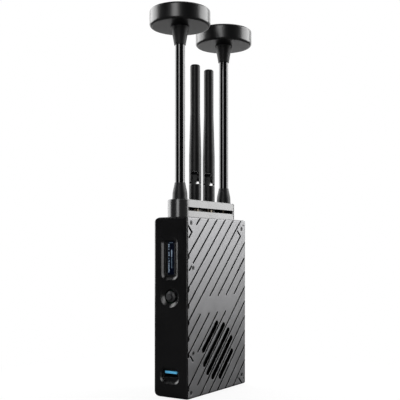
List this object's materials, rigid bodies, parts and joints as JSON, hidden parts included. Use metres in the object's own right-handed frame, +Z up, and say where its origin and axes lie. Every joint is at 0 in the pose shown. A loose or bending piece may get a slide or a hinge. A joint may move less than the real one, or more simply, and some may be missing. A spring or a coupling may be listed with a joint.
{
  "type": "wireless receiver unit",
  "caption": "Upright wireless receiver: slim ribbed housing with fan vents, display and joystick front, and a top block carrying masts with round heads and hinged whips.",
  "frame": {"origin": "centre of the footprint of the whole unit, on the plane the housing stands on", "axes": "+Z up along the masts, +X out of the ribbed vent cover, -Y out of the display face"},
  "size_m": [0.048, 0.1138, 0.3025],
  "materials": {
    "housing": "satin black anodised",
    "cover": "dark grey bead-blasted anodised, rib faces with a fine diagonal texture",
    "panel": "satin black",
    "screw": "black oxide",
    "steel": "plain",
    "board": "solder mask",
    "chip": "matte",
    "pad": "soft",
    "alu": "plain extruded",
    "gold": "gold plated",
    "fanp": "moulded",
    "glass": "dark tinted",
    "oled": "dark glass front",
    "black": "matte moulded",
    "blue": "moulded blue",
    "rubber": "matte black",
    "mast": "gloss black",
    "pod": "satin black",
    "block": "satin grey anodised",
    "coax": "jacket",
    "nickel": "nickel plated"
  },
  "bodies": {
    "chassis": {"main_housing": "housing", "front_panel": "panel", "side_cover": "cover", "cover_screws": "screw", "front_panel_screws": "steel", "rear_panel": "housing", "rear_panel_screws": "screw", "tripod_insert": "gold", "main_board": "board", "board_standoffs": "steel", "board_screws": "steel", "processor_chip": "chip", "thermal_pad": "pad", "heatsink": "alu", "radio_board": "board", "radio_shield_cans": "steel", "rf_connectors": "gold", "fan_frame": "fanp", "fan_screws": "steel", "control_board": "board", "display_window": "glass", "display_panel": "oled", "nav_switch_body": "black", "usb_shell": "nickel", "usb_tongue": "blue", "bnc_jacks": "nickel", "bnc_centres": "pad", "hdmi_shell": "nickel", "hdmi_tongue": "black", "dc_inlet": "nickel", "dc_pins": "gold", "power_switch_body": "black", "antenna_block": "block", "antenna_block_screws": "steel", "antenna_jacks": "gold", "coax_leads": "coax", "mast_front_ferrule": "pod", "mast_front_tube": "mast", "mast_front_neck": "pod", "mast_front_pod_base": "pod", "mast_front_pod_cap": "pod", "mast_rear_ferrule": "pod", "mast_rear_tube": "mast", "mast_rear_neck": "pod", "mast_rear_pod_base": "pod", "mast_rear_pod_cap": "pod", "mast_elements": "gold"},
    "nav_plunger": {"nav_switch_plunger": "steel"},
    "nav_rocker": {"nav_switch_rocker": "steel"},
    "joystick": {"joystick_stem": "black", "joystick_cap": "rubber"},
    "fan": {"fan_rotor": "fanp"},
    "whip_front_swivel": {"whip_front_base": "rubber"},
    "whip_front": {"whip_front_arm": "rubber", "whip_front_pin": "steel"},
    "whip_rear_swivel": {"whip_rear_base": "rubber"},
    "whip_rear": {"whip_rear_arm": "rubber", "whip_rear_pin": "steel"},
    "power_slider": {"power_switch_slider": "black"}
  },
  "joints": [
    {"name": "joystick_press", "type": "slide", "parent": "chassis", "child": "nav_plunger", "axis": [0, 1, 0], "range_m": [0, 0.0004], "stiffness_N_per_m": 1500},
    {"name": "joystick_up_down", "type": "hinge", "parent": "nav_plunger", "child": "nav_rocker", "pos_m": [-0.0016, -0.0416, 0.0782], "axis": [1, 0, 0], "range_deg": [-8, 8], "stiffness_Nm_per_rad": 0.03},
    {"name": "joystick_left_right", "type": "hinge", "parent": "nav_rocker", "child": "joystick", "pos_m": [-0.0016, -0.0416, 0.0782], "axis": [0, 0, 1], "range_deg": [-8, 8], "stiffness_Nm_per_rad": 0.03},
    {"name": "fan_spin", "type": "hinge", "parent": "chassis", "child": "fan", "pos_m": [0.008, -0.00075, 0.0331], "axis": [1, 0, 0], "continuous": true},
    {"name": "whip_front_turn", "type": "hinge", "parent": "chassis", "child": "whip_front_swivel", "pos_m": [0, -0.0113, 0.16], "axis": [0, 0, 1], "range_deg": [-180, 180]},
    {"name": "whip_front_fold", "type": "hinge", "parent": "whip_front_swivel", "child": "whip_front", "pos_m": [0, -0.0113, 0.1732], "axis": [0.866, 0.5, 0], "range_deg": [0, 90]},
    {"name": "whip_rear_turn", "type": "hinge", "parent": "chassis", "child": "whip_rear_swivel", "pos_m": [0, 0.0091, 0.16], "axis": [0, 0, 1], "range_deg": [-180, 180]},
    {"name": "whip_rear_fold", "type": "hinge", "parent": "whip_rear_swivel", "child": "whip_rear", "pos_m": [0, 0.0091, 0.1732], "axis": [0.866, 0.5, 0], "range_deg": [0, 90]},
    {"name": "power_slide", "type": "slide", "parent": "chassis", "child": "power_slider", "axis": [0, 0, 1], "range_m": [0, 0.003]}
  ]
}
